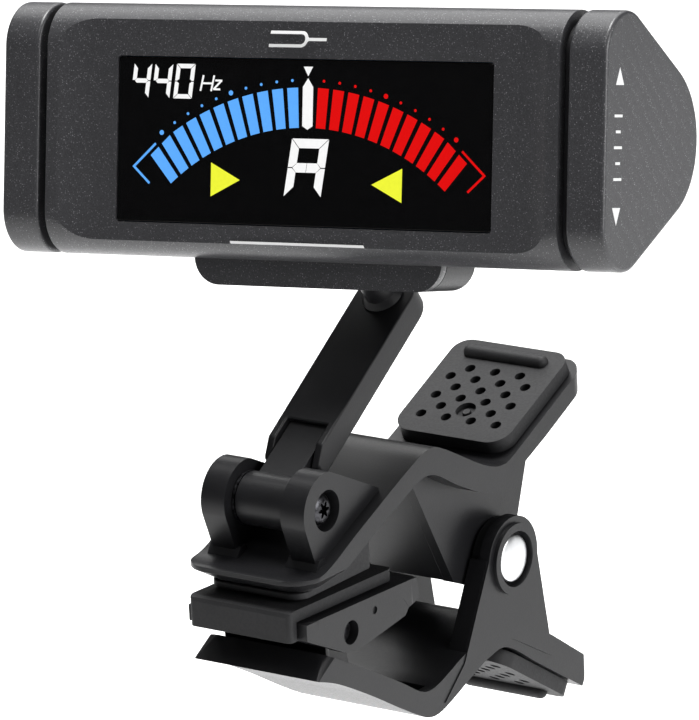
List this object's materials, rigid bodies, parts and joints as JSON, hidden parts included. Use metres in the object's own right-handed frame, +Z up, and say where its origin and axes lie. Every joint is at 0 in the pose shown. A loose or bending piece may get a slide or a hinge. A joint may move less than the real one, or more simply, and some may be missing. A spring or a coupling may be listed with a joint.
{
  "type": "clip-on instrument tuner",
  "caption": "Clip-on tuner: display head with an end dial at each side, on a hinged arm with swivel and tilt, carried by a sprung clip with rubber pads and a rocking jaw pad.",
  "frame": {"origin": "centre of the jaw mouth, midway between the two grip faces over the rocking pad's pin", "axes": "+X to the right across the clip, +Y back towards the handles, +Z up out of the upper grip face"},
  "size_m": [0.0743, 0.0541, 0.086],
  "materials": {
    "clip_plastic": "satin black moulded plastic",
    "case_plastic": "dark charcoal plastic with a fine metallic fleck",
    "pad_rubber": "matte black rubber",
    "pin_metal": "bright turned end faces",
    "dark_screw": "blackened steel",
    "plain_steel": "plated steel",
    "window_gloss": "polished display window",
    "lcd_glass": "colour display cell",
    "light_guide": "white diffuser",
    "board_green": "solder resist",
    "inner_black": "plain black",
    "piezo_brass": "bright",
    "cell_jacket": "printed jacket, left plain"
  },
  "bodies": {
    "clip_upper": {"upper_lever": "clip_plastic", "upper_thumb_pad": "pad_rubber", "upper_jaw_pad": "pad_rubber", "pivot_pin": "pin_metal", "torsion_spring": "plain_steel", "arm_hinge_screw": "dark_screw", "arm_hinge_nut": "plain_steel", "hinge_washer_left": "plain_steel", "hinge_washer_right": "plain_steel"},
    "clip_lower": {"lower_lever": "clip_plastic", "lower_thumb_pad": "pad_rubber", "pad_pivot_pin": "plain_steel"},
    "jaw_pad": {"pad_holder": "clip_plastic", "pad_rubber": "pad_rubber"},
    "arm": {"arm_tongue": "clip_plastic", "arm_sleeve": "clip_plastic"},
    "knuckle": {"swivel_knuckle": "clip_plastic", "swivel_screw": "plain_steel", "swivel_washer": "plain_steel"},
    "head": {"front_case": "case_plastic", "rear_case": "case_plastic", "hinge_bracket": "clip_plastic", "bracket_screw_1": "plain_steel", "bracket_screw_2": "plain_steel", "tilt_pin": "plain_steel", "case_screw_1": "plain_steel", "case_screw_2": "plain_steel", "case_screw_3": "plain_steel", "case_screw_4": "plain_steel", "display_window": "window_gloss", "lcd_panel": "lcd_glass", "backlight_panel": "light_guide", "circuit_board": "board_green", "display_connector": "inner_black", "main_chip": "inner_black", "quartz_crystal": "plain_steel", "piezo_pickup": "piezo_brass", "aaa_cell": "cell_jacket", "negative_contact_spring": "plain_steel", "positive_contact_plate": "plain_steel", "left_end_plate": "clip_plastic", "right_end_plate": "clip_plastic", "power_switch_upper": "plain_steel", "power_switch_lower": "plain_steel", "calibration_switch_upper": "plain_steel", "calibration_switch_lower": "plain_steel", "power_return_spring": "plain_steel", "calibration_return_spring": "plain_steel"},
    "battery_door": {"battery_door": "case_plastic"},
    "power_dial": {"power_dial": "case_plastic", "power_retaining_ring": "plain_steel", "power_rocker": "inner_black"},
    "calibration_dial": {"calibration_dial": "case_plastic", "calibration_retaining_ring": "plain_steel", "calibration_rocker": "inner_black"}
  },
  "joints": [
    {"name": "clip_open", "type": "hinge", "parent": "clip_upper", "child": "clip_lower", "pos_m": [0, 0.02837, -0.00508], "axis": [1, 0, 0], "range_deg": [0, 35], "stiffness_Nm_per_rad": 0.12, "springref_deg": -34.38, "deforming": ["torsion_spring"]},
    {"name": "pad_rock", "type": "hinge", "parent": "clip_lower", "child": "jaw_pad", "pos_m": [0, -0.00096, -0.00447], "axis": [1, 0, 0], "range_deg": [-12.26, 0]},
    {"name": "arm_tilt", "type": "hinge", "parent": "clip_upper", "child": "arm", "pos_m": [0, -0.0028, 0.00925], "axis": [1, 0, 0], "range_deg": [-14, 95]},
    {"name": "head_swivel", "type": "hinge", "parent": "arm", "child": "knuckle", "pos_m": [0, 0.01803, 0.02597], "axis": [0, -0.5534, 0.8329], "range_deg": [-165, 165]},
    {"name": "head_tilt", "type": "hinge", "parent": "knuckle", "child": "head", "pos_m": [0, 0.01419, 0.03175], "axis": [0.9928, 0.1001, 0.0665], "range_deg": [-40, 45]},
    {"name": "battery_door_off", "type": "slide", "parent": "head", "child": "battery_door", "axis": [-0.0809, 0.9658, -0.2463], "range_m": [0, 0.01]},
    {"name": "power_turn", "type": "hinge", "parent": "head", "child": "power_dial", "pos_m": [-0.0344, 0.01068, 0.04228], "axis": [0.9928, 0.1001, 0.0665], "range_deg": [-5.5, 5.5], "stiffness_Nm_per_rad": 0.01, "deforming": ["power_return_spring"]},
    {"name": "calibration_turn", "type": "hinge", "parent": "head", "child": "calibration_dial", "pos_m": [0.03271, 0.01744, 0.04677], "axis": [0.9928, 0.1001, 0.0665], "range_deg": [-5.5, 5.5], "stiffness_Nm_per_rad": 0.01, "deforming": ["calibration_return_spring"]}
  ],
  "couplings": [
    {"joint": "pad_rock", "follows": "clip_open", "ratio": -0.35}
  ]
}
